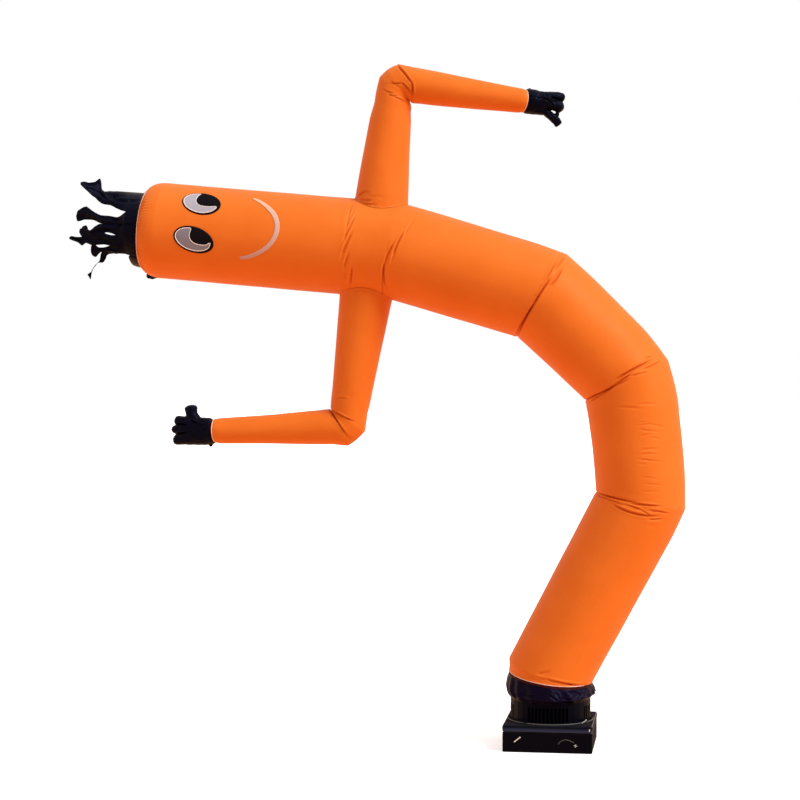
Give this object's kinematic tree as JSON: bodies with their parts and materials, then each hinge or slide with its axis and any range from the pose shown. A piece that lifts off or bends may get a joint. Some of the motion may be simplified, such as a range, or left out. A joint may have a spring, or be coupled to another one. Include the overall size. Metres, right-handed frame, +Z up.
{
  "type": "inflatable air dancer on blower",
  "caption": "Tall tapered nylon tube figure with sleeves, gloves, a smiling face and cut fringe hair, bent over in its air stream on a square floor blower.",
  "frame": {"origin": "middle of the blower's underside, on the ground", "axes": "+Z up; the face, the eyes and the smile look to -Y; the tube bends in the XZ plane and the head points to -X"},
  "size_m": [1.972, 0.3129, 2.1628],
  "materials": {
    "orange_nylon": "thin woven nylon, soft sheen",
    "black_nylon": "thin woven nylon, soft sheen",
    "white_nylon": "sewn patch of woven nylon",
    "smile_nylon": "sewn patch of pale woven nylon",
    "black_paint": "semi-gloss black paint"
  },
  "bodies": {
    "root": {"blower_tray": "black_paint", "blower_lid": "black_paint", "fan_shroud": "black_paint", "base_cuff": "black_nylon", "body_tube": "orange_nylon", "sleeve_upper": "orange_nylon", "sleeve_lower": "orange_nylon", "glove_upper": "black_nylon", "glove_lower": "black_nylon", "hair": "black_nylon", "eye_upper_rim": "black_nylon", "eye_upper_white": "white_nylon", "eye_upper_pupil": "black_nylon", "eye_lower_rim": "black_nylon", "eye_lower_white": "white_nylon", "eye_lower_pupil": "black_nylon", "smile": "smile_nylon"}
  },
  "joints": []
}
